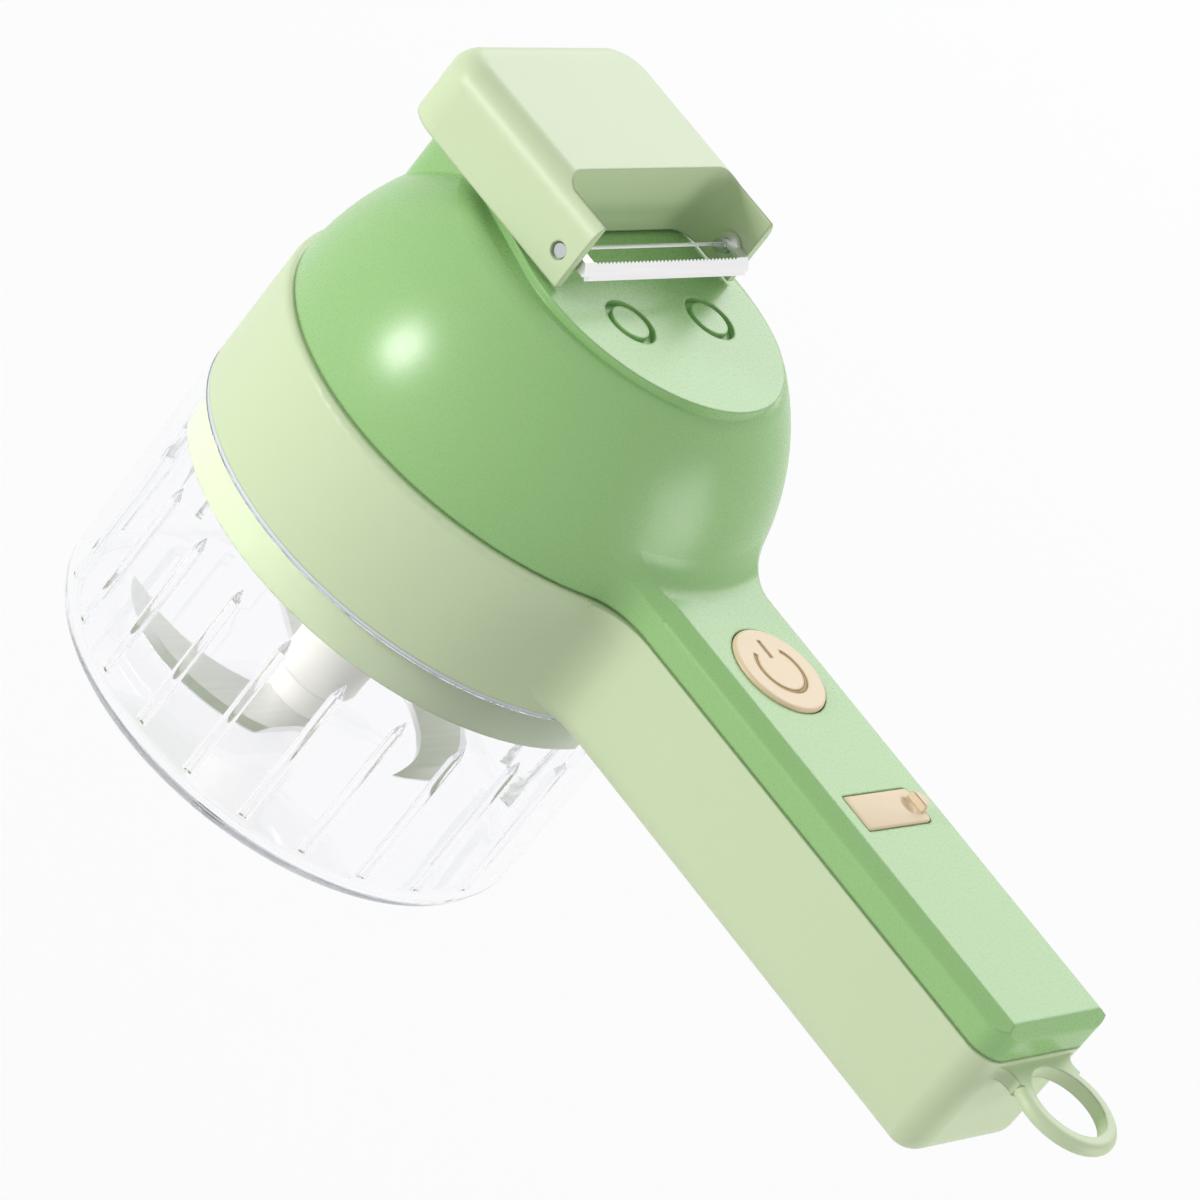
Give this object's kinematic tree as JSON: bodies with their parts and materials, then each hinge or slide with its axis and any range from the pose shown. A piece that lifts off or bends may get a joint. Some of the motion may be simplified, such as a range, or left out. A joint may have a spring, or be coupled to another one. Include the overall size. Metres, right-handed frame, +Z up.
{
  "type": "electric vegetable cutter",
  "caption": "Handheld battery chopper with a clear ribbed cup, curved blades under a domed motor head, a button handle with hanging loop, and a lift-off swivel peeler on top.",
  "frame": {"origin": "centre of the cup's base, on the blade axis, at the surface the cutter stands on", "axes": "+X from the blade axis along the handle to the hanging loop, +Y to the left seen from the blade axis looking along the handle, +Z up"},
  "size_m": [0.2045, 0.092, 0.1193],
  "materials": {
    "clear_plastic": "clear, polished",
    "pale_green_plastic": "satin moulded",
    "green_plastic": "satin moulded",
    "white_plastic": "moulded",
    "peach_plastic": "satin moulded",
    "peach_rubber": "soft moulded",
    "clear_rubber": "translucent, soft",
    "black_plastic": "moulded",
    "blade_steel": "ground",
    "steel": "turned",
    "motor_steel": "zinc plated",
    "magnet_grey": "sintered",
    "brass": "plain",
    "cell_wrap": "shrink wrapped",
    "board_green": "solder mask"
  },
  "bodies": {
    "housing": {"lower_housing": "pale_green_plastic", "upper_housing": "green_plastic", "base_plate": "pale_green_plastic", "base_screws": "steel", "rim_gasket": "clear_rubber", "shaft_seal": "clear_rubber", "shaft_bush": "brass", "gear_case": "white_plastic", "motor_plate": "steel", "motor_screws": "steel", "gearbox_screws": "steel", "motor_can": "motor_steel", "motor_magnets": "magnet_grey", "motor_end_cap": "black_plastic", "motor_clamp": "black_plastic", "clamp_screws": "steel", "screw_plugs": "green_plastic", "battery_holder": "black_plastic", "battery_cell": "cell_wrap", "battery_contacts": "brass", "circuit_board": "board_green", "board_screws": "steel", "power_switch": "black_plastic", "charging_socket": "steel", "housing_screws": "steel"},
    "cup": {"clear_cup": "clear_plastic", "blade_pin": "steel"},
    "chopper": {"blade_hub": "white_plastic", "lower_blade": "blade_steel", "middle_blade": "blade_steel", "upper_blade": "blade_steel"},
    "drive": {"output_shaft": "steel", "planet_carrier": "steel"},
    "rotor": {"motor_shaft": "steel", "sun_gear": "brass", "armature": "motor_steel"},
    "planet_1": {"planet_gear_1": "white_plastic"},
    "planet_2": {"planet_gear_2": "white_plastic"},
    "planet_3": {"planet_gear_3": "white_plastic"},
    "button": {"power_button": "peach_plastic", "switch_plunger": "white_plastic"},
    "cover": {"charging_cover": "peach_rubber"},
    "peeler": {"peeler_head": "pale_green_plastic", "peeler_pins": "steel"},
    "swivel_blade": {"peeler_blade": "blade_steel"}
  },
  "joints": [
    {"name": "cup_slide", "type": "slide", "parent": "housing", "child": "cup", "axis": [0, 0, -1], "range_m": [0, 0.06]},
    {"name": "blade_spin", "type": "hinge", "parent": "cup", "child": "chopper", "pos_m": [0, 0, 0.006], "axis": [0, 0, 1], "continuous": true},
    {"name": "drive_spin", "type": "hinge", "parent": "housing", "child": "drive", "pos_m": [0, 0, 0.05], "axis": [0, 0, 1], "continuous": true},
    {"name": "rotor_spin", "type": "hinge", "parent": "housing", "child": "rotor", "pos_m": [0, 0, 0.07], "axis": [0, 0, 1], "continuous": true},
    {"name": "planet_1_spin", "type": "hinge", "parent": "drive", "child": "planet_1", "pos_m": [0.009, 0, 0.0595], "axis": [0, 0, 1], "continuous": true},
    {"name": "planet_2_spin", "type": "hinge", "parent": "drive", "child": "planet_2", "pos_m": [-0.0045, 0.00779, 0.0595], "axis": [0, 0, 1], "continuous": true},
    {"name": "planet_3_spin", "type": "hinge", "parent": "drive", "child": "planet_3", "pos_m": [-0.0045, -0.00779, 0.0595], "axis": [0, 0, 1], "continuous": true},
    {"name": "button_press", "type": "slide", "parent": "housing", "child": "button", "axis": [0, 0, -1], "range_m": [0, 0.0012], "stiffness_N_per_m": 1500},
    {"name": "cover_hinge", "type": "hinge", "parent": "housing", "child": "cover", "pos_m": [0.0939, -0.0087, 0.0789], "axis": [1, 0, 0], "range_deg": [0, 100]},
    {"name": "peeler_lift", "type": "slide", "parent": "housing", "child": "peeler", "axis": [0, 0, 1], "range_m": [0, 0.03]},
    {"name": "peeler_swivel", "type": "hinge", "parent": "peeler", "child": "swivel_blade", "pos_m": [-0.0013, 0, 0.1098], "axis": [0, 1, 0], "range_deg": [-25, 12]}
  ],
  "couplings": [
    {"joint": "blade_spin", "follows": "drive_spin", "ratio": 1},
    {"joint": "rotor_spin", "follows": "drive_spin", "ratio": 4},
    {"joint": "planet_1_spin", "follows": "drive_spin", "ratio": -3},
    {"joint": "planet_2_spin", "follows": "drive_spin", "ratio": -3},
    {"joint": "planet_3_spin", "follows": "drive_spin", "ratio": -3}
  ]
}
